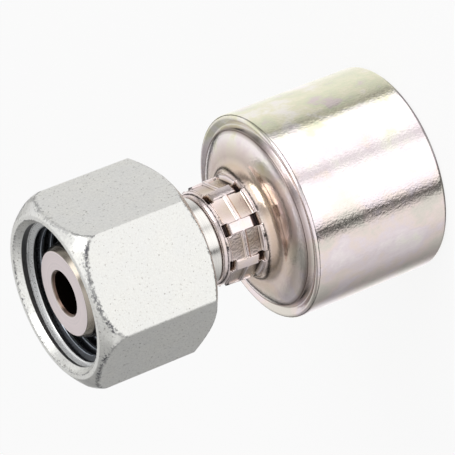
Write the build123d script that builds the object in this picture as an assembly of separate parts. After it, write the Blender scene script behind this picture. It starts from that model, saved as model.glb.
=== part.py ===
"""Crimped hose fitting with a swivel nut.

Four pieces on one axis: a drawn ferrule that holds the hose, a turned stem whose core is
gripped by the ferrule's neck and whose nose seals in the mating port, a seal ring on the
nose, and a hexagon nut that turns freely on the stem's shank.
The axis is +Z. The ferrule stands on its open end at Z = 0 and the nut is at the top.
"""
from build123d import *
import os
from math import cos, pi, radians, sin, tan

# Walls and steps across the axis, from the bore outwards.
# They add up to an M20 x 1.5 thread and 24 mm across the nut's flats.
STEM_BORE = 6.0
TAIL_WALL = 1.6
CORE_WALL = 2.6
SHANK_WALL = 3.23
HEAD_STEP = 1.37
PORT_SPACE = 2.4
NUT_WALL = 2.0
HOSE_SPACE = 7.1
BARREL_WALL = 3.0

# Ferrule barrel
BARREL_LENGTH = 21.35
SHOULDER_THICKNESS = 2.6
CAVITY_CORNER = 1.3
OPEN_EDGE_RADIUS = 0.65
FRONT_CORNER_RADIUS = 0.55

# Ferrule shoulder, from the front corner inwards
RIM_WIDTH = 1.5
RIM_DISH = 0.5
BEAD_WIDTH = 0.45
BEAD_RISE = 0.8
BEAD_GROOVE = 0.15
DOME_STEP = 2.17
DOME_RISE = 1.2
DOME_SAG = 0.22
FILLET_LENGTH = 1.7
FILLET_SAG = 0.54

# Ferrule neck
NECK_WALL_BACK = 1.7
NECK_WALL_FRONT = 1.42
NECK_PLAIN_LENGTH = 0.43
LIP_LENGTH = 1.05
LIP_STEP_LENGTH = 0.15
LIP_WALL_BACK = 1.1
LIP_WALL_FRONT = 0.82
LIP_SAG = 0.08

# Crimp marks on the neck: jaws with two lands each, and pockets at the ends of the ridges
JAW_COUNT = 8
JAW_ANGLE = 31.0
JAW_FIRST_RIDGE = 5.1
PAD_LENGTH = 2.1
PAD_DEPTH_BACK = 0.62
PAD_DEPTH_FRONT = 0.5
PAD_STEP_LENGTH = 0.57
PAD_STEP_DEPTH = 0.32
POCKET_DEPTH = 0.95
POCKET_WIDTH = 1.5
POCKET_LENGTH_BACK = 1.1
POCKET_LENGTH_FRONT = 0.8
POCKET_OVERHANG_BACK = 0.37
POCKET_OVERHANG_FRONT = 0.27

# Grip teeth inside the barrel
TOOTH_START = 2.4
TOOTH_PITCH = 3.6
TOOTH_HEIGHT = 0.7
TOOTH_CREST = 0.36
TOOTH_DROP = 0.36
TOOTH_LAND = 0.72

# Stem's hose tail
TAIL_RECESS = 1.0
TAIL_TIP_LENGTH = 1.2
TAIL_TIP_STEP = 0.6
BARB_PITCH = 3.1
BARB_HEIGHT = 0.4
BARB_CREST = 0.31
BARB_DROP = 0.62

# Stem's core and shank
STEM_BORE_CHAMFER = 0.35
CORE_FIT = 0.03
LOCK_GROOVE_DEPTH = 0.35
LOCK_GROOVE_WIDTH = 1.3
COLLAR_GAP = 0.08
SHANK_EDGE = 0.2

# Stem's head and nose: a cone of 24 degrees with a seal groove
HEAD_LAND = 0.5
CONE_LENGTH = 5.3
CONE_HALF_ANGLE = 12.0
NOSE_LEAD_LENGTH = 0.9
NOSE_LEAD_ANGLE = 30.0

# Seal ring
SEAL_SECTION = 1.5
SEAL_SETBACK = 1.25
SEAL_STAND_PROUD = 0.18
SEAL_GROOVE_CLEARANCE = 0.12

# How far the nut slides each way, and how it runs on the shank and seats on the head
NUT_PLAY_BACK = 4.25
NUT_PLAY_FRONT = 3.65
NUT_HOLE_CLEARANCE = 0.37
NUT_HOLE_LENGTH = 5.5
NUT_HOLE_EDGE = 0.4
SEAT_ANGLE = 45.0
SEAT_LEDGE = 1.3

# Nut's thread space, bored to the root of the thread
RELIEF_DEPTH = 0.2
RELIEF_LENGTH = 1.19
THREAD_LENGTH = 7.5
COUNTERBORE_DEPTH = 0.13
COUNTERBORE_LENGTH = 1.0
MOUTH_CHAMFER_WIDTH = 0.73
MOUTH_CHAMFER_LENGTH = 0.86

# Nut's outside
NUT_SIDES = 6
NUT_FACE_STEP = 0.47
NUT_CHAMFER_ANGLE = 37.0
NUT_CHAMFER_WIDTH = 1.46
NUT_SHOULDER_LENGTH = 3.4
NUT_BACK_STEP = 0.6
NUT_BACK_CHAMFER_ANGLE = 35.0

# Radii that follow from the walls
BORE_RADIUS = STEM_BORE / 2
TAIL_RADIUS = BORE_RADIUS + TAIL_WALL
CORE_RADIUS = BORE_RADIUS + CORE_WALL
SHANK_RADIUS = BORE_RADIUS + SHANK_WALL
HEAD_RADIUS = SHANK_RADIUS + HEAD_STEP
THREAD_RADIUS = HEAD_RADIUS + PORT_SPACE
FLAT_RADIUS = THREAD_RADIUS + NUT_WALL
CORNER_RADIUS = FLAT_RADIUS / cos(pi / NUT_SIDES)
CAVITY_RADIUS = TAIL_RADIUS + HOSE_SPACE
BARREL_RADIUS = CAVITY_RADIUS + BARREL_WALL
NECK_HOLE_RADIUS = CORE_RADIUS + CORE_FIT
NUT_HOLE_RADIUS = SHANK_RADIUS + NUT_HOLE_CLEARANCE

# Heights along the ferrule
CAVITY_Z = BARREL_LENGTH - SHOULDER_THICKNESS
BEAD_Z = BARREL_LENGTH - RIM_DISH + BEAD_RISE
DOME_Z = BEAD_Z + DOME_RISE
NECK_Z = DOME_Z + FILLET_LENGTH
BACK_ROW_Z = NECK_Z + NECK_PLAIN_LENGTH
FRONT_ROW_Z = BACK_ROW_Z + PAD_LENGTH + PAD_STEP_LENGTH
CRIMP_FRONT_Z = FRONT_ROW_Z + PAD_LENGTH
LIP_Z = CRIMP_FRONT_Z + LIP_LENGTH

# Heights along the nut
NUT_BACK_Z = LIP_Z + NUT_PLAY_BACK
SEAT_Z = NUT_BACK_Z + NUT_HOLE_LENGTH

# Heights along the stem's shank and nose
SHANK_Z = LIP_Z + COLLAR_GAP
SHANK_END_Z = SEAT_Z + NUT_PLAY_FRONT - NUT_HOLE_CLEARANCE / tan(radians(SEAT_ANGLE))
HEAD_Z = SHANK_END_Z + HEAD_STEP / tan(radians(SEAT_ANGLE))
CONE_Z = HEAD_Z + HEAD_LAND
LEAD_Z = CONE_Z + CONE_LENGTH
NOSE_Z = LEAD_Z + NOSE_LEAD_LENGTH


def turned(*shapes):
    """Solid of revolution about Z from lines drawn in the XZ plane as (radius, height)."""
    edges = [edge for shape in shapes for edge in shape.edges()]
    return revolve(Plane.XZ * make_face(edges), Axis.Z)


def neck_radius(z):
    """Radius of the ferrule's neck before crimping: a slight taper to the front."""
    back = NECK_HOLE_RADIUS + NECK_WALL_BACK
    front = NECK_HOLE_RADIUS + NECK_WALL_FRONT
    return back + (front - back) * (z - NECK_Z) / (CRIMP_FRONT_Z - NECK_Z)


def core_outline(radius):
    """Core under the neck, with a locking groove below the middle of each row of lands."""
    half = LOCK_GROOVE_WIDTH / 2
    points = []
    for row_z in (BACK_ROW_Z, FRONT_ROW_Z):
        middle = row_z + PAD_LENGTH / 2
        points += [
            (radius, middle - half),
            (radius - LOCK_GROOVE_DEPTH, middle - half + LOCK_GROOVE_DEPTH),
            (radius - LOCK_GROOVE_DEPTH, middle + half - LOCK_GROOVE_DEPTH),
            (radius, middle + half),
        ]
    return points


def tooth_outline():
    """Grip teeth on the cavity's wall, as many as fit between the open end and the corner."""
    count = int((CAVITY_Z - CAVITY_CORNER - TOOTH_START) // TOOTH_PITCH)
    tip = CAVITY_RADIUS - TOOTH_HEIGHT
    points = []
    for i in range(count):
        start = TOOTH_START + i * TOOTH_PITCH
        drop_end = start + TOOTH_PITCH - TOOTH_LAND
        points += [
            (CAVITY_RADIUS, start),
            (tip, drop_end - TOOTH_DROP - TOOTH_CREST),
            (tip, drop_end - TOOTH_DROP),
            (CAVITY_RADIUS, drop_end),
        ]
    return points


def ferrule_outside():
    """Outside of the ferrule before crimping, from its open edge to its lip."""
    side = BARREL_RADIUS
    edge = OPEN_EDGE_RADIUS
    front = BARREL_LENGTH
    corner = FRONT_CORNER_RADIUS
    rim = side - RIM_WIDTH
    bead = rim - BEAD_WIDTH
    dome_foot = bead - BEAD_GROOVE
    neck_back = neck_radius(NECK_Z)
    dome_top = neck_back + DOME_STEP
    neck_front = neck_radius(CRIMP_FRONT_Z)
    lip_back = NECK_HOLE_RADIUS + LIP_WALL_BACK
    lip_back_z = CRIMP_FRONT_Z + LIP_STEP_LENGTH
    return [
        RadiusArc((side - edge, 0), (side, edge), -edge),
        Line((side, edge), (side, front - corner)),
        RadiusArc((side, front - corner), (side - corner, front), -corner),
        Polyline(
            (side - corner, front),
            (rim, front - RIM_DISH),
            (bead, BEAD_Z),
            (dome_foot, BEAD_Z - BEAD_GROOVE),
            (dome_foot, BEAD_Z),
        ),
        SagittaArc((dome_foot, BEAD_Z), (dome_top, DOME_Z), -DOME_SAG),
        SagittaArc((dome_top, DOME_Z), (neck_back, NECK_Z), FILLET_SAG),
        Polyline((neck_back, NECK_Z), (neck_front, CRIMP_FRONT_Z), (lip_back, lip_back_z)),
        SagittaArc((lip_back, lip_back_z), (NECK_HOLE_RADIUS + LIP_WALL_FRONT, LIP_Z), -LIP_SAG),
    ]


def ferrule_inside():
    """Inside of the ferrule from its lip to its open edge: neck hole, cavity and teeth."""
    return Polyline(
        (NECK_HOLE_RADIUS + LIP_WALL_FRONT, LIP_Z),
        (NECK_HOLE_RADIUS, LIP_Z),
        *reversed(core_outline(NECK_HOLE_RADIUS)),
        (NECK_HOLE_RADIUS, CAVITY_Z),
        (CAVITY_RADIUS - CAVITY_CORNER, CAVITY_Z),
        (CAVITY_RADIUS, CAVITY_Z - CAVITY_CORNER),
        *reversed(tooth_outline()),
        (CAVITY_RADIUS, 0),
        (BARREL_RADIUS - OPEN_EDGE_RADIUS, 0),
    )


def pressed_block(angle, floor, z, width, length):
    """Block that leaves a flat floor at a distance from the axis, towards an angle."""
    reach = neck_radius(NECK_Z)
    block = Box(reach, width, length, align=(Align.MIN, Align.CENTER, Align.MIN))
    return Rot(0, 0, angle) * Pos(floor, 0, z) * block


def jaw_marks():
    """Everything that the crimping jaws press out of the neck."""
    pad_width = 2 * neck_radius(FRONT_ROW_Z) * sin(radians(JAW_ANGLE / 2))
    pads = [
        (BACK_ROW_Z, PAD_LENGTH, PAD_DEPTH_BACK),
        (BACK_ROW_Z + PAD_LENGTH, PAD_STEP_LENGTH, PAD_STEP_DEPTH),
        (FRONT_ROW_Z, PAD_LENGTH, PAD_DEPTH_FRONT),
    ]
    pocket_front_z = CRIMP_FRONT_Z + POCKET_OVERHANG_FRONT
    pockets = [
        (BACK_ROW_Z - POCKET_OVERHANG_BACK, POCKET_LENGTH_BACK),
        (pocket_front_z - POCKET_LENGTH_FRONT, POCKET_LENGTH_FRONT),
    ]
    marks = []
    for i in range(JAW_COUNT):
        ridge = JAW_FIRST_RIDGE + i * 360 / JAW_COUNT
        pad = ridge + 180 / JAW_COUNT
        for z, length, depth in pads:
            floor = neck_radius(z + length / 2) - depth
            marks.append(pressed_block(pad, floor, z, pad_width, length))
        for z, length in pockets:
            floor = neck_radius(z + length / 2) - POCKET_DEPTH
            marks.append(pressed_block(ridge, floor, z, POCKET_WIDTH, length))
    return marks


def make_ferrule():
    return turned(*ferrule_outside(), ferrule_inside()) - jaw_marks()


def barb_outline():
    """Barbs of the hose tail, as many as fit: each rises slowly and drops behind."""
    first = TAIL_RECESS + TAIL_TIP_LENGTH
    count = int((CAVITY_Z - first) // BARB_PITCH)
    crest = TAIL_RADIUS + BARB_HEIGHT
    points = []
    for i in range(1, count + 1):
        foot = first + i * BARB_PITCH
        points += [
            (crest, foot - BARB_DROP - BARB_CREST),
            (crest, foot - BARB_DROP),
            (TAIL_RADIUS, foot),
        ]
    return points


def cone_radius(z):
    """Radius of the nose's cone at a height."""
    return HEAD_RADIUS - (z - CONE_Z) * tan(radians(CONE_HALF_ANGLE))


def seal_place():
    """Middle height and middle radius of the seal ring in its groove."""
    z = LEAD_Z - SEAL_SETBACK - SEAL_SECTION / 2
    return z, cone_radius(z) + SEAL_STAND_PROUD - SEAL_SECTION / 2


def make_stem():
    seal_z, seal_radius = seal_place()
    groove_floor = seal_radius - SEAL_SECTION / 2
    groove_back = seal_z - SEAL_SECTION / 2 - SEAL_GROOVE_CLEARANCE
    groove_front = seal_z + SEAL_SECTION / 2 + SEAL_GROOVE_CLEARANCE
    nose_radius = cone_radius(LEAD_Z) - NOSE_LEAD_LENGTH * tan(radians(NOSE_LEAD_ANGLE))
    bore_mouth = BORE_RADIUS + STEM_BORE_CHAMFER
    outline = [
        (bore_mouth, TAIL_RECESS),
        (TAIL_RADIUS - TAIL_TIP_STEP, TAIL_RECESS),
        (TAIL_RADIUS, TAIL_RECESS + TAIL_TIP_LENGTH),
        *barb_outline(),
        (TAIL_RADIUS, CAVITY_Z),
        (CORE_RADIUS, CAVITY_Z),
        *core_outline(CORE_RADIUS),
        (CORE_RADIUS, SHANK_Z),
        (SHANK_RADIUS - SHANK_EDGE, SHANK_Z),
        (SHANK_RADIUS, SHANK_Z + SHANK_EDGE),
        (SHANK_RADIUS, SHANK_END_Z),
        (HEAD_RADIUS, HEAD_Z),
        (HEAD_RADIUS, CONE_Z),
        (cone_radius(groove_back), groove_back),
        (groove_floor, groove_back),
        (groove_floor, groove_front),
        (cone_radius(groove_front), groove_front),
        (cone_radius(LEAD_Z), LEAD_Z),
        (nose_radius, NOSE_Z),
        (bore_mouth, NOSE_Z),
        (BORE_RADIUS, NOSE_Z - STEM_BORE_CHAMFER),
        (BORE_RADIUS, TAIL_RECESS + STEM_BORE_CHAMFER),
        (bore_mouth, TAIL_RECESS),
    ]
    return turned(Polyline(*outline))


def make_seal_ring():
    z, radius = seal_place()
    return Pos(0, 0, z) * Torus(radius, SEAL_SECTION / 2)


def nut_bore_outline():
    """Inside of the nut from its back hole to its mouth, as (radius, height) points."""
    relief = THREAD_RADIUS + RELIEF_DEPTH
    seat = relief - SEAT_LEDGE
    counterbore = THREAD_RADIUS + COUNTERBORE_DEPTH
    seat_top = SEAT_Z + (seat - NUT_HOLE_RADIUS) / tan(radians(SEAT_ANGLE))
    thread_back = seat_top + RELIEF_LENGTH
    thread_front = thread_back + THREAD_LENGTH
    mouth_back = thread_front + COUNTERBORE_LENGTH
    nut_front = mouth_back + MOUTH_CHAMFER_LENGTH
    return [
        (NUT_HOLE_RADIUS + NUT_HOLE_EDGE, NUT_BACK_Z),
        (NUT_HOLE_RADIUS, NUT_BACK_Z + NUT_HOLE_EDGE),
        (NUT_HOLE_RADIUS, SEAT_Z),
        (seat, seat_top),
        (relief, seat_top),
        (relief, thread_back),
        (THREAD_RADIUS, thread_back),
        (THREAD_RADIUS, thread_front),
        (counterbore, thread_front),
        (counterbore, mouth_back),
        (counterbore + MOUTH_CHAMFER_WIDTH, nut_front),
    ]


def nut_turning():
    """The nut as a turned ring, before its six flats are cut."""
    bore = nut_bore_outline()
    nut_front = bore[-1][1]
    face = FLAT_RADIUS - NUT_FACE_STEP
    back_face = FLAT_RADIUS - NUT_BACK_STEP
    back_drop = (CORNER_RADIUS - back_face) * tan(radians(NUT_BACK_CHAMFER_ANGLE))
    chamfer = face + NUT_CHAMFER_WIDTH
    chamfer_z = nut_front - NUT_CHAMFER_WIDTH * tan(radians(NUT_CHAMFER_ANGLE))
    shoulder_z = nut_front - NUT_SHOULDER_LENGTH
    return turned(
        Polyline(
            bore[0],
            (back_face, NUT_BACK_Z),
            (CORNER_RADIUS, NUT_BACK_Z + back_drop),
            (CORNER_RADIUS, shoulder_z),
        ),
        TangentArc((CORNER_RADIUS, shoulder_z), (chamfer, chamfer_z), tangent=(0, 1)),
        Polyline((chamfer, chamfer_z), (face, nut_front), *reversed(bore)),
    )


def make_swivel_nut():
    nut_front = nut_bore_outline()[-1][1]
    hexagon = extrude(RegularPolygon(CORNER_RADIUS, NUT_SIDES), nut_front - NUT_BACK_Z)
    return nut_turning() & Pos(0, 0, NUT_BACK_Z) * hexagon


NODES = {
    "ferrule": make_ferrule,
    "stem": make_stem,
    "seal_ring": make_seal_ring,
    "swivel_nut": make_swivel_nut,
}

os.makedirs("parts", exist_ok=True)
for name, make in NODES.items():
    piece = make()
    export_step(piece, f"parts/{name}.step")
    print(name, "volume", round(piece.volume, 1), "mm3")
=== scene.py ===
"""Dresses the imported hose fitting: turned and pressed metal, the nut's thread, floor, lights and camera.

Sizes are millimetres in the frame of the model and become metres when a mesh is made.
"""

import math

import bpy
from mathutils import Matrix, Vector


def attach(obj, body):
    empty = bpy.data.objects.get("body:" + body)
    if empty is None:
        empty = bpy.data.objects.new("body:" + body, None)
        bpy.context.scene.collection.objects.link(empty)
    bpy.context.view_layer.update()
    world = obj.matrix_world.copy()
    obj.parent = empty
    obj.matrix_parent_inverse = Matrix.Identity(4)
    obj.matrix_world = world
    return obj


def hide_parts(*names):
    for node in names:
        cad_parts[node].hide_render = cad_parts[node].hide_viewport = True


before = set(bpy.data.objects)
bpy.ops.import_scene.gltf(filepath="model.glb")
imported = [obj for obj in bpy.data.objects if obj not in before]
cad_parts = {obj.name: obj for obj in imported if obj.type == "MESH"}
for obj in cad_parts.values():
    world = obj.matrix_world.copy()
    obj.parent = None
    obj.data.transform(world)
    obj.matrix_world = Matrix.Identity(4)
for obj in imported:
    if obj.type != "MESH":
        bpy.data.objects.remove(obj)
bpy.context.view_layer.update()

MM = 0.001

# Ferrule barrel and shoulder
BARREL_RADIUS = 14.7
BARREL_LENGTH = 21.35
BARREL_MARGIN = 0.3
OPEN_EDGE = 0.65
FRONT_CORNER = 0.55
CAVITY_RADIUS = 11.7
CAVITY_Z = 18.75
CAVITY_CORNER = 1.3
RIM_RADIUS = 13.2
RIM_Z = 20.85
BEAD_RADIUS = 12.75
BEAD_Z = 21.65
BEAD_GROOVE = 0.15
DOME_RADIUS = 9.5
DOME_Z = 22.85
DOME_SAG = 0.22
DOME_ROWS = 10
FILLET_SAG = 0.54
FILLET_ROWS = 12

# Grip teeth in the barrel
TOOTH_START = 2.4
TOOTH_PITCH = 3.6
TOOTH_COUNT = 4
TOOTH_TIP = 11.0
TOOTH_DROP = 0.36
TOOTH_CREST = 0.36
TOOTH_LAND = 0.72

# Ferrule neck and the marks of the crimping jaws
NECK_HOLE = 5.63
NECK_BACK_RADIUS = 7.33
NECK_FRONT_RADIUS = 7.05
NECK_Z = 24.55
NECK_ROW = 0.1
CRIMP_FRONT_Z = 29.75
LIP_BACK_RADIUS = 6.73
LIP_BACK_Z = 29.9
LIP_RADIUS = 6.45
LIP_Z = 30.8
LIP_SAG = 0.08
LIP_EDGE = 0.06
LIP_BACK_ROWS = 3
LIP_ROWS = 10
JAW_COUNT = 8
FIRST_RIDGE = 5.1
PAD_HALF_WIDTH = 1.925
POCKET_HALF_WIDTH = 0.75
BACK_PAD = (24.98, 27.08, 0.62)
STEP_PAD = (27.08, 27.65, 0.32)
FRONT_PAD = (27.65, 29.75, 0.5)
BACK_POCKET = (24.61, 25.71, 0.95)
FRONT_POCKET = (29.22, 30.02, 0.95)
PRESS_EDGE = 0.12
FULL_MARK = 0.9
MARKS_END_Z = 30.1
MARKS_INSIDE = 5.73

# Stem
BORE_RADIUS = 3.0
BORE_CHAMFER = 0.35
TAIL_RADIUS = 4.6
TAIL_Z = 1.0
TAIL_TIP_RADIUS = 4.0
TAIL_TIP_Z = 2.2
BARB_RADIUS = 5.0
BARB_PITCH = 3.1
BARB_COUNT = 5
BARB_CREST = 0.31
BARB_DROP = 0.62
CORE_RADIUS = 5.6
SHANK_RADIUS = 6.23
SHANK_EDGE = 0.2
SHANK_Z = 30.88
SHANK_END_Z = 43.83
HEAD_RADIUS = 7.6
HEAD_Z = 45.2
CONE_Z = 45.7
CONE_SLOPE = math.tan(math.radians(12))
GROOVE_FLOOR = 5.579
GROOVE_BACK_Z = 48.13
GROOVE_FRONT_Z = 49.87
LEAD_Z = 51.0
NOSE_RADIUS = 5.954
NOSE_Z = 51.9
STEM_COLUMNS = 256

# Nut
FLAT_RADIUS = 12.0
CORNER_EDGE = 0.25
NUT_BACK_Z = 35.05
NUT_FRONT_Z = 53.4
NUT_HOLE = 6.6
NUT_HOLE_EDGE = 0.4
SEAT_Z = 40.55
SEAT_RADIUS = 8.9
SEAT_TOP_Z = 42.85
RELIEF_RADIUS = 10.2
THREAD_BACK_Z = 44.04
THREAD_FRONT_Z = 51.54
THREAD_ROOT = 10.0
COUNTERBORE = 10.13
MOUTH_Z = 52.54
MOUTH_RADIUS = 10.86
FACE_RADIUS = 11.53
CHAMFER_RADIUS = 12.99
CHAMFER_Z = 52.3
SHOULDER_Z = 50.0
BACK_FACE_RADIUS = 11.4
BACK_SLOPE = math.tan(math.radians(35))
FACE_BAND = 0.25
CHAMFER_ROWS = 8
CHAMFER_SPLIT = 0.75
ROWS_OFF_BACK = (0.4, 0.9)
ROWS_OFF_FRONT = (1.1, 0.7, 0.35)

# Wear along the nut's edges: how far it reaches, and how strong it is
WEAR_FRONT = (0.8, 1.0)
WEAR_BACK = (0.6, 0.6)
WEAR_MOUTH = (0.3, 0.7)

# Thread ridge in the nut, M20 x 1.5
PITCH = 1.5
THREAD_CREST = 9.19
CREST_WIDTH = 0.375
RIDGE_WIDTH = 1.34
CREST_EASE = 0.06
CREST_INSET = 0.03
CREST_OUTSET = 0.035
FLANK_OVERLAP = 0.03
FLANK_ROWS = 4
RUN_IN = 0.4
RUN_OUT = 0.6
START_CHAMFER_Z = 51.08
END_CHAMFER_Z = 44.54
START_CHAMFER_SLOPE = 1.84
THREAD_COLUMNS = 180

# Colours
WHITE = (1, 1, 1)
DULL_ZINC = (0.76, 0.755, 0.725)
BRIGHT_ZINC = (0.93, 0.925, 0.885)
BLUE_ZINC = (0.8, 0.81, 0.82)
PIT = (0.35, 0.33, 0.31)
WORN_EDGE = (0.16, 0.16, 0.17)
# Painted shade inside the nut's threaded bore
BORE_PAINTED_SHADE = (0.1, 0.1, 0.11)
DULL_STEEL = (0.66, 0.64, 0.61)
BRIGHT_STEEL = (0.86, 0.84, 0.8)
NOSE_FACE = (0.94, 0.85, 0.87)
# Painted shade on the stem: brown on its cone inside the nut, dark in its bore
CONE_SHADE_BROWN = (0.3, 0.26, 0.21)
STEM_BORE_SHADE = (0.15, 0.1, 0.08)
# Painted shade, gold, on the ferrule's fillet
FILLET_SHADE_GOLD = (0.5, 0.33, 0.16)
# Painted shade, brown, round the ferrule's bead
RIM_SHADE_BROWN = (0.24, 0.18, 0.16)
# Painted shade on the nut's thread: nearly black on the flanks, lighter on the crest
FLANK_SHADE_DARK = (0.04, 0.045, 0.05)
FLANK_SHADE_GREY = (0.1, 0.105, 0.12)
THREAD_EDGE = (0.5, 0.55, 0.62)
THREAD_START = (0.85, 0.86, 0.86)
DARK_RUBBER = (0.012, 0.012, 0.012)
GREY_RUBBER = (0.03, 0.03, 0.03)

# Tints of the chromate from -X, where they are pink, to +X, where they are yellow beyond YELLOW_SIDE
CHROMATE_TINTS = [
    (0.28, (0.8, 0.75, 0.68)),
    (0.38, (0.9, 0.78, 0.73)),
    (0.46, (0.88, 0.78, 0.81)),
    (0.54, (0.93, 0.85, 0.85)),
    (0.62, (0.94, 0.9, 0.82)),
    (0.69, (0.88, 0.84, 0.65)),
    (0.77, (0.8, 0.81, 0.61)),
    (0.85, (0.8, 0.7, 0.68)),
]
YELLOW_SIDE = 9.0

# Where the painted shade, gold, on the ferrule's fillet fades towards the neck, in metres
GOLD_SHADE_FADE = (23.8 * MM, 24.9 * MM)

# Painted shade in the jaws' marks by their depth, down to the dark pockets
MARK_SHADES = [
    (0.2, WHITE),
    (0.6, (0.66, 0.62, 0.54)),
    (0.82, (0.4, 0.34, 0.28)),
    (1.0, (0.05, 0.04, 0.04)),
]

# The part of a noise's range that is spread over two tones
NOISE_LOW = 0.3
NOISE_HIGH = 0.7

# Floor, in metres but for its gap, which is millimetres
FLOOR_SIZE = 6
FLOOR_GAP = 0.02
FLOOR_TONE = 0.85
FLOOR_GLOW = 0.85

# Grey levels of the tent by compass direction, as (degrees, level): low down, and above the part
PANELS_ROUND = [
    (-180, 0.62), (-160, 0.85), (-138, 0.92), (-132, 0.85), (-128, 0.03), (-121, 0.03), (-117, 1.05),
    (-108, 1.32), (-84, 1.42), (-68, 1.2), (-61, 0.65), (-54, 1.25), (-30, 1.35), (-9, 1.35), (-3, 0.2),
    (8, 0.7), (36, 0.95), (60, 0.95), (84, 1.1), (112, 1.1), (124, 0.7), (138, 0.28), (157, 0.43),
    (172, 0.62),
]
PANELS_ABOVE = [
    (-180, 0.7), (-130, 1.0), (-100, 1.2), (-70, 0.5), (-50, 1.3), (-20, 1.4), (10, 0.25), (40, 1.0),
    (72, 0.88), (95, 0.68), (106, 0.7), (120, 0.35), (135, 0.4), (150, 0.2), (172, 0.5),
]

# The tent by the height of a direction, from -1 down to 1 up
PANELS_MEET = (-0.05, 0.25)
HORIZON_BAND = (0.06, 0.17)
HORIZON_LEVEL = 0.06
GROUND_BAND = (-0.8, -0.66)
GROUND_LEVEL = 0.3

# Light on matte surfaces
ROOM_LEVEL = 0.7

# Key lamp, in watts and metres
KEY_POWER = 1.0
KEY_SIZE = 0.4
KEY_PLACE = (0.38, -0.24, 0.5)
KEY_TARGET = (0, 0, 0.03)

# Camera: place, lens and sensor in millimetres, clipping in metres
CAMERA_PLACE = (44.82, -404.29, 220.64)
CAMERA_VIEW = (-0.098948, 0.896669, -0.431502)
CAMERA_UP = (0.941818, -0.055594, -0.331494)
LENS = 263.49
SENSOR = 36
NEAREST = 0.01
FARTHEST = 20


def towards(a, b, distance):
    """Point at a distance from a towards b, at most 0.45 of the way."""
    length = math.dist(a, b)
    share = min(distance / length, 0.45) if length else 0.0
    return a[0] + (b[0] - a[0]) * share, a[1] + (b[1] - a[1]) * share


def eased(outline, steps=3):
    """Closed section with each corner (r, z, setback) eased; plain (r, z) points stay."""
    points = []
    for i, corner in enumerate(outline):
        here = corner[:2]
        if len(corner) == 2:
            points.append(here)
            continue
        before = outline[i - 1][:2]
        after = outline[(i + 1) % len(outline)][:2]
        start = towards(here, before, corner[2])
        end = towards(here, after, corner[2])
        points.append(towards(start, before, corner[2] * 0.5))
        for k in range(steps + 1):
            t = k / steps
            a, b, c = (1 - t) ** 2, 2 * t * (1 - t), t * t
            points.append(tuple(a * start[n] + b * here[n] + c * end[n] for n in (0, 1)))
        points.append(towards(end, after, corner[2] * 0.5))
    return points


def arc(start, end, sag, steps):
    """Points of a shallow arc from start to end, which bulges to its right by sag."""
    chord = math.dist(start, end)
    across = ((end[1] - start[1]) / chord, (start[0] - end[0]) / chord)
    points = []
    for k in range(steps + 1):
        t = k / steps
        bulge = 4 * sag * t * (1 - t)
        r = start[0] + (end[0] - start[0]) * t + across[0] * bulge
        z = start[1] + (end[1] - start[1]) * t + across[1] * bulge
        points.append((r, z))
    return points


def quarter(centre, radius, first, last, steps=6):
    """Points of an arc about a centre between two angles in degrees."""
    angles = [math.radians(first + (last - first) * k / steps) for k in range(steps + 1)]
    return [(centre[0] + radius * math.cos(a), centre[1] + radius * math.sin(a)) for a in angles]


def add_object(name, vertices, faces, wear_and_mark_shade=None):
    """Mesh object from millimetres; the last argument gives a value for each vertex that the materials
    read: how worn the nut is, or how deep the jaws' marks are, which the ferrule's material paints as
    shade.
    """
    mesh = bpy.data.meshes.new(name)
    mesh.from_pydata([[c * MM for c in v] for v in vertices], [], faces)
    if wear_and_mark_shade:
        mesh.attributes.new("wear_and_mark_shade", "FLOAT", "POINT").data.foreach_set("value", wear_and_mark_shade)
    mesh.polygons.foreach_set("use_smooth", [True] * len(faces))
    mesh.update()
    piece = bpy.data.objects.new(name, mesh)
    bpy.context.scene.collection.objects.link(piece)
    return piece


def swept(name, section_at, angles, wear_and_mark_shade_at=None):
    """Closed mesh round Z from section_at(angle), the closed section as (r, z)."""
    columns = [section_at(a) for a in angles]
    rows = len(columns[0])
    vertices = []
    wear_and_mark_shade = []
    for a, column in zip(angles, columns):
        c, s = math.cos(math.radians(a)), math.sin(math.radians(a))
        vertices += [(r * c, r * s, z) for r, z in column]
        if wear_and_mark_shade_at:
            wear_and_mark_shade += [wear_and_mark_shade_at(a, r, z) for r, z in column]
    faces = []
    for i in range(len(angles)):
        here, there = i * rows, (i + 1) % len(angles) * rows
        for k in range(rows):
            after = (k + 1) % rows
            faces.append((here + k, there + k, there + after, here + after))
    return add_object(name, vertices, faces, wear_and_mark_shade)


def even_angles(count):
    return [360 * i / count for i in range(count)]


def ramp_in(value, start, width):
    """0 below start, 1 above start + width, smooth between."""
    t = min(max((value - start) / width, 0.0), 1.0)
    return t * t * (3 - 2 * t)


def neck_radius(z):
    share = (z - NECK_Z) / (CRIMP_FRONT_Z - NECK_Z)
    return NECK_BACK_RADIUS + (NECK_FRONT_RADIUS - NECK_BACK_RADIUS) * share


def pressed(r, z, angle, half_width, mark):
    """Radius after a jaw's mark: a flat floor across the direction angle = 0."""
    low, high, depth = mark
    floor = neck_radius((low + high) / 2) - depth
    swing = math.radians(angle)
    side = floor * math.tan(abs(swing)) if abs(angle) < 90 else math.inf
    cover = 1 - ramp_in(side, half_width - PRESS_EDGE / 2, PRESS_EDGE)
    cover *= ramp_in(z, low - PRESS_EDGE / 2, PRESS_EDGE)
    cover *= 1 - ramp_in(z, high - PRESS_EDGE / 2, PRESS_EDGE)
    if cover == 0:
        return r
    target = min(r, floor / math.cos(swing))
    return r + (target - r) * cover


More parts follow.
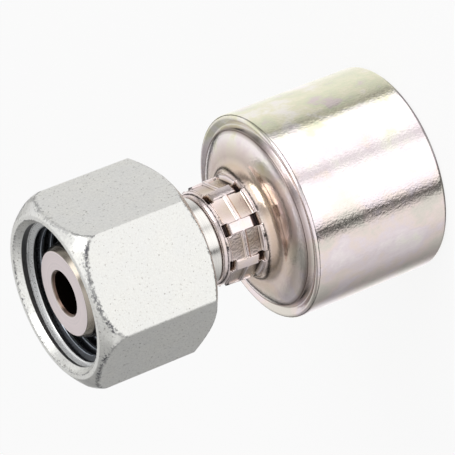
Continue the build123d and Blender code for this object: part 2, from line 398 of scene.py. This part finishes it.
def crimped(r, z, angle):
    """Neck radius at a height and an angle, with the marks of the jaws."""
    step = 360 / JAW_COUNT
    from_ridge = (angle - FIRST_RIDGE + step / 2) % step - step / 2
    from_pad = (angle - FIRST_RIDGE) % step - step / 2
    for mark in (BACK_PAD, STEP_PAD, FRONT_PAD):
        r = pressed(r, z, from_pad, PAD_HALF_WIDTH, mark)
    for mark in (BACK_POCKET, FRONT_POCKET):
        r = pressed(r, z, from_ridge, POCKET_HALF_WIDTH, mark)
    return r


def mark_depth(angle, r, z):
    """How deep the jaws pressed the neck at a point, 0 outside the marks and about 1 in a pocket; the
    ferrule's material paints shade by it.
    """
    outer = NECK_Z < z < MARKS_END_Z and r > MARKS_INSIDE
    return min(max((neck_radius(z) - r) / FULL_MARK, 0), 1) if outer else 0.0


def ferrule_section(angle):
    edge = quarter((BARREL_RADIUS - OPEN_EDGE, OPEN_EDGE), OPEN_EDGE, -90, 0)
    corner_z = BARREL_LENGTH - FRONT_CORNER
    corner = quarter((BARREL_RADIUS - FRONT_CORNER, corner_z), FRONT_CORNER, 0, 90)
    dome_foot = BEAD_RADIUS - BEAD_GROOVE
    outside = [
        *edge,
        (BARREL_RADIUS, OPEN_EDGE + BARREL_MARGIN),
        (BARREL_RADIUS, corner_z - BARREL_MARGIN),
        *corner[:-1],
        (*corner[-1], 0.1),
        (RIM_RADIUS, RIM_Z, 0.15),
        (BEAD_RADIUS, BEAD_Z, 0.1),
        (dome_foot, BEAD_Z - BEAD_GROOVE, 0.04),
        (dome_foot, BEAD_Z, 0.05),
        *arc((dome_foot, BEAD_Z), (DOME_RADIUS, DOME_Z), DOME_SAG, DOME_ROWS)[1:-1],
        (DOME_RADIUS, DOME_Z, 0.25),
        *arc((DOME_RADIUS, DOME_Z), (NECK_BACK_RADIUS, NECK_Z), -FILLET_SAG, FILLET_ROWS)[1:-1],
    ]
    rows = round((CRIMP_FRONT_Z - NECK_Z) / NECK_ROW)
    heights = [NECK_Z + (CRIMP_FRONT_Z - NECK_Z) * k / rows for k in range(rows + 1)]
    neck = [(neck_radius(z), z) for z in heights]
    lip_back = (LIP_BACK_RADIUS, LIP_BACK_Z)
    neck += arc(neck[-1], lip_back, 0, LIP_BACK_ROWS)[1:]
    neck += arc(lip_back, (LIP_RADIUS, LIP_Z - LIP_EDGE), LIP_SAG, LIP_ROWS)[1:]
    neck = [(crimped(r, z, angle), z) for r, z in neck]
    teeth = []
    for i in range(TOOTH_COUNT):
        start = TOOTH_START + i * TOOTH_PITCH
        drop = start + TOOTH_PITCH - TOOTH_LAND
        teeth += [
            (CAVITY_RADIUS, start, 0.1),
            (TOOTH_TIP, drop - TOOTH_DROP - TOOTH_CREST, 0.1),
            (TOOTH_TIP, drop - TOOTH_DROP, 0.1),
            (CAVITY_RADIUS, drop, 0.1),
        ]
    inside = [
        (LIP_RADIUS - LIP_EDGE, LIP_Z),
        (NECK_HOLE, LIP_Z, 0.1),
        (NECK_HOLE, CAVITY_Z, 0.2),
        (CAVITY_RADIUS - CAVITY_CORNER, CAVITY_Z, 0.4),
        (CAVITY_RADIUS, CAVITY_Z - CAVITY_CORNER, 0.4),
        *reversed(teeth),
        (CAVITY_RADIUS, 0, 0.15),
    ]
    return eased([*outside, *neck, *inside])


def ferrule_angles():
    """Columns round the ferrule, in degrees, closer together at the edges of the jaws' marks."""
    step = 360 / JAW_COUNT
    edges = [5.6 + 0.25 * k for k in range(8)]
    half = [0, 2, 4, 5.2, *edges, 8, 10, 13, 16, 19]
    offsets = [*half, step / 2, *(step - a for a in reversed(half[1:]))]
    return [FIRST_RIDGE + j * step + a for j in range(JAW_COUNT) for a in offsets]


def stem_section():
    barbs = []
    for i in range(1, BARB_COUNT + 1):
        foot = TAIL_TIP_Z + i * BARB_PITCH
        barbs += [
            (BARB_RADIUS, foot - BARB_DROP - BARB_CREST, 0.08),
            (BARB_RADIUS, foot - BARB_DROP, 0.05),
            (TAIL_RADIUS, foot, 0.08),
        ]
    groove_back = HEAD_RADIUS - (GROOVE_BACK_Z - CONE_Z) * CONE_SLOPE
    groove_front = HEAD_RADIUS - (GROOVE_FRONT_Z - CONE_Z) * CONE_SLOPE
    lead = HEAD_RADIUS - (LEAD_Z - CONE_Z) * CONE_SLOPE
    mouth = BORE_RADIUS + BORE_CHAMFER
    return eased([
        (TAIL_TIP_RADIUS, TAIL_Z, 0.12),
        (TAIL_RADIUS, TAIL_TIP_Z, 0.12),
        *barbs,
        (TAIL_RADIUS, CAVITY_Z, 0.05),
        (CORE_RADIUS, CAVITY_Z, 0.05),
        (CORE_RADIUS, SHANK_Z, 0.02),
        (SHANK_RADIUS - SHANK_EDGE, SHANK_Z, 0.06),
        (SHANK_RADIUS, SHANK_Z + SHANK_EDGE, 0.06),
        (SHANK_RADIUS, SHANK_END_Z, 0.1),
        (HEAD_RADIUS, HEAD_Z, 0.1),
        (HEAD_RADIUS, CONE_Z, 0.1),
        (groove_back, GROOVE_BACK_Z, 0.06),
        (GROOVE_FLOOR, GROOVE_BACK_Z, 0.08),
        (GROOVE_FLOOR, GROOVE_FRONT_Z, 0.08),
        (groove_front, GROOVE_FRONT_Z, 0.06),
        (lead, LEAD_Z, 0.08),
        (NOSE_RADIUS, NOSE_Z, 0.1),
        (mouth, NOSE_Z, 0.06),
        (BORE_RADIUS, NOSE_Z - BORE_CHAMFER, 0.06),
        (BORE_RADIUS, TAIL_Z + BORE_CHAMFER, 0.06),
        (mouth, TAIL_Z, 0.06),
    ])


def hex_radius(angle):
    """Distance from the axis to the hexagon, whose corners are eased by a small radius."""
    swing = math.radians((angle + 30) % 60 - 30)
    corner = FLAT_RADIUS / math.cos(math.radians(30))
    touch = CORNER_EDGE / math.tan(math.radians(60))
    touch_swing = math.atan2(
        touch * math.sin(math.radians(120)), corner + touch * math.cos(math.radians(120))
    )
    if abs(swing) >= touch_swing:
        return FLAT_RADIUS / math.cos(math.radians(30) - abs(swing))
    centre = corner - CORNER_EDGE / math.sin(math.radians(60))
    across = centre * math.sin(swing)
    return centre * math.cos(swing) + math.sqrt(CORNER_EDGE**2 - across**2)


def chamfer_height(r):
    """Height of the nut's turned front at a radius: a cone that bends down to the corners."""
    slope = (NUT_FRONT_Z - CHAMFER_Z) / (CHAMFER_RADIUS - FACE_RADIUS)
    if r <= CHAMFER_RADIUS:
        return NUT_FRONT_Z - (r - FACE_RADIUS) * slope
    corner = FLAT_RADIUS / math.cos(math.radians(30))
    rise, run = CHAMFER_Z - SHOULDER_Z, corner - CHAMFER_RADIUS
    radius = (rise**2 + run**2) / (2 * run)
    from_centre = min(r - (corner - radius), radius)
    return SHOULDER_Z + math.sqrt(max(radius**2 - from_centre**2, 0))


def back_height(r):
    """Height of the chamfer on the nut's back at a radius."""
    return NUT_BACK_Z + (r - BACK_FACE_RADIUS) * BACK_SLOPE


def nut_section(angle):
    r = hex_radius(angle)
    back_z, front_z = back_height(r), chamfer_height(r)
    split = min(CHAMFER_RADIUS, FACE_RADIUS + CHAMFER_SPLIT * (r - FACE_RADIUS))
    curve = [r + (split - r) * k / CHAMFER_ROWS for k in range(1, CHAMFER_ROWS + 1)]
    return eased([
        (NUT_HOLE + NUT_HOLE_EDGE, NUT_BACK_Z, 0.08),
        (BACK_FACE_RADIUS, NUT_BACK_Z, 0.12),
        (r, back_z, 0.12),
        *((r, back_z + off) for off in ROWS_OFF_BACK),
        *((r, front_z - off) for off in ROWS_OFF_FRONT),
        (r, front_z, 0.1),
        *((q, chamfer_height(q)) for q in curve),
        (FACE_RADIUS, NUT_FRONT_Z, 0.1),
        (MOUTH_RADIUS + FACE_BAND, NUT_FRONT_Z),
        (MOUTH_RADIUS, NUT_FRONT_Z, 0.05),
        (COUNTERBORE, MOUTH_Z, 0.04),
        (COUNTERBORE, THREAD_FRONT_Z, 0.03),
        (THREAD_ROOT, THREAD_FRONT_Z, 0.02),
        (THREAD_ROOT, THREAD_BACK_Z, 0.05),
        (RELIEF_RADIUS, THREAD_BACK_Z, 0.05),
        (RELIEF_RADIUS, SEAT_TOP_Z, 0.1),
        (SEAT_RADIUS, SEAT_TOP_Z, 0.1),
        (NUT_HOLE, SEAT_Z, 0.15),
        (NUT_HOLE, NUT_BACK_Z + NUT_HOLE_EDGE, 0.08),
    ])


def nut_wear(angle, r, z):
    """Strongest on the edges between the flats and the turned chamfers, fading within a millimetre."""
    edge = hex_radius(angle)
    worn = 0.0
    for corner, (reach, strength) in (
        ((edge, chamfer_height(edge)), WEAR_FRONT),
        ((edge, back_height(edge)), WEAR_BACK),
        ((MOUTH_RADIUS, NUT_FRONT_Z), WEAR_MOUTH),
    ):
        worn = max(worn, strength * (1 - math.dist((r, z), corner) / reach))
    return worn


def nut_angles():
    """Columns round the nut, in degrees, closer together at the corners."""
    half = [0, 0.2, 0.4, 0.6, 0.8, 1.1, 1.6, 2.4, 3.5, 5, 7, 9, 11, 13.5, 16, 19, 22, 25, 28]
    offsets = half + [30] + [60 - a for a in reversed(half[1:])]
    return [60 * j + a for j in range(6) for a in offsets]


def thread_ridge():
    """The ridge of the nut's thread, cut back by a chamfer where it starts and ends."""
    first = THREAD_BACK_Z - RUN_IN
    turns = (THREAD_FRONT_Z + RUN_OUT - first) / PITCH
    base = THREAD_ROOT + FLANK_OVERLAP
    flank_end = CREST_WIDTH / 2 + CREST_OUTSET
    crest_end = CREST_WIDTH / 2 - CREST_INSET
    shape = [
        (base, -RIDGE_WIDTH / 2),
        (THREAD_CREST + CREST_EASE, -flank_end),
        (THREAD_CREST, -crest_end),
        (THREAD_CREST, crest_end),
        (THREAD_CREST + CREST_EASE, flank_end),
        (base, RIDGE_WIDTH / 2),
    ]
    fill = []
    for (r0, z0), (r1, z1) in zip(shape, shape[1:]):
        shares = [k / FLANK_ROWS for k in range(FLANK_ROWS)]
        fill += [(r0 + (r1 - r0) * t, z0 + (z1 - z0) * t) for t in shares]
    fill.append(shape[-1])
    vertices, faces = [], []
    count = round(turns * THREAD_COLUMNS)
    for i in range(count + 1):
        a = 2 * math.pi * i / THREAD_COLUMNS
        middle = first + PITCH * i / THREAD_COLUMNS
        for r, dz in fill:
            z = middle + dz
            front = THREAD_CREST + (z - START_CHAMFER_Z) * START_CHAMFER_SLOPE
            back = THREAD_CREST + (END_CHAMFER_Z - z) * START_CHAMFER_SLOPE
            r = max(r, min(max(front, back), COUNTERBORE + FLANK_OVERLAP))
            vertices.append((r * math.cos(a), r * math.sin(a), z))
    rows = len(fill)
    for i in range(count):
        here, there = i * rows, (i + 1) * rows
        for k in range(rows):
            after = (k + 1) % rows
            faces.append((here + k, here + after, there + after, there + k))
    faces.append(tuple(reversed(range(rows))))
    faces.append(tuple(range(count * rows, count * rows + rows)))
    return add_object("nut_thread", vertices, faces)


class Nodes:
    """A node tree, and short ways to add to it."""

    def __init__(self, tree):
        self.tree = tree

    def node(self, kind, inputs=None, **settings):
        """Add a node. An input is a value, or the socket that feeds it."""
        made = self.tree.nodes.new(kind)
        for key, value in settings.items():
            setattr(made, key, value)
        for key, value in (inputs or {}).items():
            if isinstance(value, bpy.types.NodeSocket):
                self.tree.links.new(value, made.inputs[key])
            else:
                made.inputs[key].default_value = value
        return made

    def calculate(self, operation, first, second=0.0):
        return self.node("ShaderNodeMath", {0: first, 1: second}, operation=operation).outputs[0]

    def sum(self, first, second):
        return self.calculate("ADD", first, second)

    def product(self, first, second):
        return self.calculate("MULTIPLY", first, second)

    def part(self, vector, axis):
        return self.node("ShaderNodeSeparateXYZ", {0: vector}).outputs[axis]

    def levels(self, value, low, high, to_low, to_high):
        """to_low below low, to_high above high, and a straight change between them."""
        return self.node(
            "ShaderNodeMapRange",
            {"Value": value, "From Min": low, "From Max": high, "To Min": to_low, "To Max": to_high},
        ).outputs[0]

    def mix(self, share, first, second, blend="MIX"):
        first, second = (v if isinstance(v, bpy.types.NodeSocket) else (*v, 1) for v in (first, second))
        inputs = {0: share, 6: first, 7: second}
        return self.node("ShaderNodeMix", inputs, data_type="RGBA", blend_type=blend).outputs[2]

    def ramp(self, value, stops):
        """Colour for a value, from stops of (position, colour)."""
        made = self.node("ShaderNodeValToRGB", {"Fac": value})
        band = made.color_ramp
        while len(band.elements) < len(stops):
            band.elements.new(0.5)
        for element, (position, colour) in zip(band.elements, stops):
            element.position = position
            element.color = (*colour, 1)
        return made.outputs["Color"]


class Look(Nodes):
    """One material. Its textures read object coordinates in metres."""

    def __init__(self, name, metallic):
        self.material = bpy.data.materials.new(name)
        self.material.use_nodes = True
        super().__init__(self.material.node_tree)
        self.shader = self.tree.nodes["Principled BSDF"]
        self.shader.inputs["Metallic"].default_value = metallic
        self.coords = self.node("ShaderNodeTexCoord").outputs["Object"]

    def stretched(self, scale):
        return self.node("ShaderNodeMapping", {"Vector": self.coords, "Scale": scale}).outputs[0]

    def wear_and_mark_shade(self):
        # Vertex values: how worn the nut is, or the depth of the jaws' marks, painted as shade
        return self.node("ShaderNodeAttribute", attribute_name="wear_and_mark_shade").outputs["Fac"]

    def around(self):
        """Coordinates (distance from the axis, 0, height), which make rings round the axis."""
        flat = self.node("ShaderNodeVectorMath", {0: self.coords, 1: (1, 1, 0)}, operation="MULTIPLY")
        length = self.node("ShaderNodeVectorMath", {0: flat.outputs[0]}, operation="LENGTH")
        inputs = {"X": length.outputs["Value"], "Z": self.part(self.coords, "Z")}
        return self.node("ShaderNodeCombineXYZ", inputs).outputs[0]

    def above(self, value, edge, width, full=1.0):
        """0 below an edge in millimetres, and rising to full over a width."""
        return self.levels(value, edge * MM, (edge + width) * MM, 0.0, full)

    def below(self, value, edge, width, full=1.0):
        """full below an edge in millimetres, and falling to 0 over a width."""
        return self.levels(value, edge * MM, (edge + width) * MM, full, 0.0)

    def noise(self, vector, waves, detail=3, roughness=0.5):
        """Noise with a number of waves in a metre."""
        inputs = {"Vector": vector, "Scale": waves, "Detail": detail, "Roughness": roughness}
        return self.node("ShaderNodeTexNoise", inputs).outputs["Fac"]

    def from_noise(self, noise, to_low, to_high):
        """Spread the middle of a noise over two values."""
        return self.levels(noise, NOISE_LOW, NOISE_HIGH, to_low, to_high)

    def two_tone(self, noise, low_colour, high_colour):
        return self.ramp(noise, [(NOISE_LOW, low_colour), (NOISE_HIGH, high_colour)])

    def bump(self, height, depth, strength, under=None):
        """Small relief with a depth in millimetres, on top of another."""
        inputs = {"Height": height, "Distance": depth * MM, "Strength": strength}
        if under is not None:
            inputs["Normal"] = under
        return self.node("ShaderNodeBump", inputs).outputs[0]

    def feed(self, **sockets):
        """Feed the shader, and give the material."""
        for key, value in sockets.items():
            self.tree.links.new(value, self.shader.inputs[key.replace("_", " ")])
        return self.material


def nut_look():
    """Satin zinc with fine pits, worn dark along the edges, and painted shade in the threaded bore."""
    look = Look("satin_zinc", metallic=1.0)
    fine = look.noise(look.coords, 3800)
    broad = look.noise(look.coords, 260)
    spots = look.noise(look.coords, 3000, detail=2)
    pits = look.ramp(spots, [(0.27, PIT), (0.38, WHITE)])
    tone = look.two_tone(fine, DULL_ZINC, BRIGHT_ZINC)
    tone = look.mix(look.levels(broad, 0.35, 0.65, 0.0, 0.25), tone, BLUE_ZINC)
    tone = look.mix(0.75, tone, pits, "MULTIPLY")

    scuffs = look.noise(look.coords, 2600, detail=5, roughness=0.7)
    patches = look.levels(look.noise(look.coords, 330, detail=2), 0.36, 0.58, 0.3, 1.0)
    worn = look.product(look.wear_and_mark_shade(), look.levels(scuffs, 0.36, 0.6, 0.0, 1.3))
    worn = look.product(look.levels(worn, 0.34, 0.7, 0.0, 1.0), patches)

    # Painted shade inside the threaded bore, from just behind the mouth back to the thread's end
    around = look.around()
    height = look.part(around, "Z")
    bore = look.below(look.part(around, "X"), COUNTERBORE + 0.02, 0.05)
    bore = look.product(bore, look.below(height, MOUTH_Z - 0.09, 0.1, full=0.9))
    bore = look.product(bore, look.above(height, THREAD_BACK_Z - 1.04, 1.0))
    tone = look.mix(bore, tone, BORE_PAINTED_SHADE)
    return look.feed(
        Base_Color=look.mix(worn, tone, WORN_EDGE),
        Roughness=look.from_noise(fine, 0.33, 0.45),
        Normal=look.bump(fine, 0.02, 0.55, under=look.bump(worn, 0.04, 0.5)),
    )


def steel_look():
    """Turned steel with fine rings, a matte nose face, and painted shade: brown on the cone, dark in the
    bore.
    """
    look = Look("turned_steel", metallic=1.0)
    around = look.around()
    height = look.part(around, "Z")
    rings = look.noise(around, 5000, detail=2)
    turned = look.two_tone(rings, DULL_STEEL, BRIGHT_STEEL)
    face = look.above(height, NOSE_Z - 0.04, 0.03)
    matte = look.mix(0.4, NOSE_FACE, turned, "MULTIPLY")
    # Painted shade: brown on the cone inside the nut, dark in the bore
    cone = look.above(height, CONE_Z, 1.3, full=0.85)
    bore = look.below(look.part(around, "X"), BORE_RADIUS + 0.2, 0.1)
    tone = look.mix(cone, turned, CONE_SHADE_BROWN)
    tone = look.mix(face, tone, matte)
    return look.feed(
        Base_Color=look.mix(bore, tone, STEM_BORE_SHADE),
        Roughness=look.sum(look.from_noise(rings, 0.16, 0.28), look.levels(face, 0, 1, 0, 0.15)),
        Normal=look.bump(rings, 0.01, 0.5),
    )


def chromate_look():
    """Glossy chromate: pale tints in clouds, yellow on the +X side, and painted shade: gold on the fillet,
    brown round the bead, brown to nearly black in the jaws' marks.
    """
    look = Look("iridescent_chromate", metallic=1.0)
    across = look.part(look.coords, "X")
    height = look.part(look.coords, "Z")
    radius = look.part(look.around(), "X")
    clouds = look.noise(look.coords, 150, detail=4, roughness=0.6)
    rise = look.levels(across, -BARREL_RADIUS * MM, YELLOW_SIDE * MM, -0.17, 0.04)
    yellow = look.above(across, YELLOW_SIDE, 3.5, full=0.17)
    tone = look.ramp(look.sum(clouds, look.sum(rise, yellow)), CHROMATE_TINTS)

    # Painted shade, gold, on the fillet at the dome's foot, fading towards the neck
    fillet = look.above(height, DOME_Z - 0.65, 1.0, full=0.6)
    fillet = look.product(fillet, look.levels(height, *GOLD_SHADE_FADE, 1.0, 0.25))
    tone = look.mix(fillet, tone, FILLET_SHADE_GOLD)
    # Painted shade, brown, round the bead and its groove at the front rim
    rim = look.above(radius, BEAD_RADIUS - 0.65, 0.45)
    rim = look.product(rim, look.below(radius, BEAD_RADIUS + 0.15, 0.4))
    rim = look.product(rim, look.above(height, RIM_Z - 0.15, 0.1, full=0.75))
    tone = look.mix(rim, tone, RIM_SHADE_BROWN)

    # Painted shade in the jaws' marks, darker the deeper they are pressed
    marks = look.ramp(look.wear_and_mark_shade(), MARK_SHADES)
    grain = look.noise(look.coords, 3300)
    streaks = look.noise(look.stretched((1, 1, 0.05)), 2500)
    return look.feed(
        Base_Color=look.mix(1.0, tone, marks, "MULTIPLY"),
        Roughness=look.from_noise(streaks, 0.1, 0.2),
        Normal=look.bump(streaks, 0.01, 0.3, under=look.bump(grain, 0.04, 0.5)),
    )


def thread_look():
    """Thread in painted shade, nearly black on the flanks and lighter on the crest, and bright where it
    starts.
    """
    look = Look("thread_painted_shade", metallic=1.0)
    fine = look.noise(look.coords, 4000, detail=2)
    around = look.around()
    crest = look.below(look.part(around, "X"), THREAD_CREST + 0.01, 0.08)
    start = look.above(look.part(around, "Z"), START_CHAMFER_Z - 0.03, 0.13)
    # Painted shade: nearly black on the flanks, lighter on the crest
    tone = look.two_tone(fine, FLANK_SHADE_DARK, FLANK_SHADE_GREY)
    tone = look.mix(crest, tone, THREAD_EDGE)
    return look.feed(
        Base_Color=look.mix(start, tone, THREAD_START),
        Roughness=look.from_noise(fine, 0.25, 0.4),
    )


def rubber_look():
    look = Look("black_rubber", metallic=0.0)
    fine = look.noise(look.coords, 5000)
    return look.feed(
        Base_Color=look.two_tone(fine, DARK_RUBBER, GREY_RUBBER),
        Roughness=look.from_noise(fine, 0.4, 0.6),
        Normal=look.bump(fine, 0.01, 0.3),
    )


def dress(piece, material):
    piece.data.materials.clear()
    piece.data.materials.append(material)


def make_floor():
    """Floor that is nearly white to the camera, holds a faint shadow, and is clear from below."""
    bpy.ops.mesh.primitive_plane_add(size=FLOOR_SIZE, location=(0, 0, -FLOOR_GAP * MM))
    floor = bpy.context.object
    floor.name = "floor"
    pale = bpy.data.materials.new("floor_pale")
    pale.use_nodes = True
    pale.node_tree.nodes.clear()
    nodes = Nodes(pale.node_tree)
    rays = nodes.node("ShaderNodeLightPath").outputs
    glow = nodes.product(rays["Is Camera Ray"], FLOOR_GLOW)
    matte = nodes.node("ShaderNodeBsdfDiffuse", {"Color": (FLOOR_TONE, FLOOR_TONE, FLOOR_TONE, 1)})
    white = nodes.node("ShaderNodeEmission", {"Strength": 1})
    clear = nodes.node("ShaderNodeBsdfTransparent")
    under = nodes.node("ShaderNodeNewGeometry").outputs["Backfacing"]
    top = nodes.node("ShaderNodeMixShader", {0: glow, 1: matte.outputs[0], 2: white.outputs[0]})
    sided = nodes.node("ShaderNodeMixShader", {0: under, 1: top.outputs[0], 2: clear.outputs[0]})
    nodes.node("ShaderNodeOutputMaterial", {"Surface": sided.outputs[0]})
    floor.data.materials.append(pale)
    floor.visible_glossy = False


def compass_stops(panels):
    """Ramp stops for grey panels, from -180 to 180 degrees."""
    return [(degrees / 360 + 0.5, (level, level, level)) for degrees, level in panels]


def make_world():
    """World that is white to the camera, and a tent of soft grey panels to reflections."""
    world = bpy.data.worlds.new("studio")
    bpy.context.scene.world = world
    world.use_nodes = True
    sky = Nodes(world.node_tree)
    direction = sky.node("ShaderNodeTexCoord").outputs["Generated"]
    parts = sky.node("ShaderNodeSeparateXYZ", {0: direction}).outputs
    height = parts["Z"]
    turn = sky.calculate("ARCTAN2", parts["Y"], parts["X"])
    compass = sky.levels(turn, -math.pi, math.pi, 0.0, 1.0)
    tent = sky.mix(
        sky.levels(height, *PANELS_MEET, 0.0, 1.0),
        sky.ramp(compass, compass_stops(PANELS_ROUND)),
        sky.ramp(compass, compass_stops(PANELS_ABOVE)),
    )
    horizon = sky.levels(sky.calculate("ABSOLUTE", height), *HORIZON_BAND, HORIZON_LEVEL, 1.0)
    ground = sky.levels(height, *GROUND_BAND, GROUND_LEVEL, 1.0)
    shade = sky.product(horizon, ground)
    walls = sky.node("ShaderNodeVectorMath", {0: tent, "Scale": shade}, operation="SCALE").outputs[0]
    rays = sky.node("ShaderNodeLightPath").outputs
    seen = sky.mix(rays["Is Glossy Ray"], WHITE, walls)
    strength = sky.levels(rays["Is Diffuse Ray"], 0.0, 1.0, 1.0, ROOM_LEVEL)
    background = sky.tree.nodes["Background"]
    sky.tree.links.new(seen, background.inputs["Color"])
    sky.tree.links.new(strength, background.inputs["Strength"])


def make_key():
    """One soft lamp above the side that is up in the picture."""
    light = bpy.data.lights.new("key", "AREA")
    light.energy = KEY_POWER
    light.size = KEY_SIZE
    lamp = bpy.data.objects.new("key", light)
    bpy.context.scene.collection.objects.link(lamp)
    lamp.location = KEY_PLACE
    lamp.rotation_mode = "QUATERNION"
    lamp.rotation_quaternion = (Vector(KEY_TARGET) - lamp.location).to_track_quat("-Z", "Y")


def make_camera():
    data = bpy.data.cameras.new("camera")
    data.sensor_width = SENSOR
    data.lens = LENS
    data.clip_start = NEAREST
    data.clip_end = FARTHEST
    camera = bpy.data.objects.new("camera", data)
    bpy.context.scene.collection.objects.link(camera)
    bpy.context.scene.camera = camera
    view = Vector(CAMERA_VIEW).normalized()
    up = (Vector(CAMERA_UP) - view * view.dot(Vector(CAMERA_UP))).normalized()
    right = view.cross(up)
    turn = Matrix((right, up, -view)).transposed()
    camera.matrix_world = Matrix.Translation(Vector(CAMERA_PLACE) * MM) @ turn.to_4x4()


# Pieces
# The ferrule's vertex values are the depth of the jaws' marks, which its material paints as shade
ferrule = swept("ferrule_shell", ferrule_section, ferrule_angles(), mark_depth)
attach(ferrule, "fitting")
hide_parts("ferrule")

stem_outline = stem_section()
stem = swept("turned_stem", lambda angle: stem_outline, even_angles(STEM_COLUMNS))
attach(stem, "fitting")
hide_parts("stem")

nut = swept("hexagon_nut", nut_section, nut_angles(), nut_wear)
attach(nut, "nut")
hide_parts("swivel_nut")

thread = thread_ridge()
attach(thread, "nut")

dress(ferrule, chromate_look())
dress(stem, steel_look())
dress(nut, nut_look())
dress(thread, thread_look())
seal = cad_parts["seal_ring"]
seal.material_slots[0].material = rubber_look()

# Stage
make_floor()
make_world()
make_key()
make_camera()

bpy.context.scene.view_settings.view_transform = "Standard"
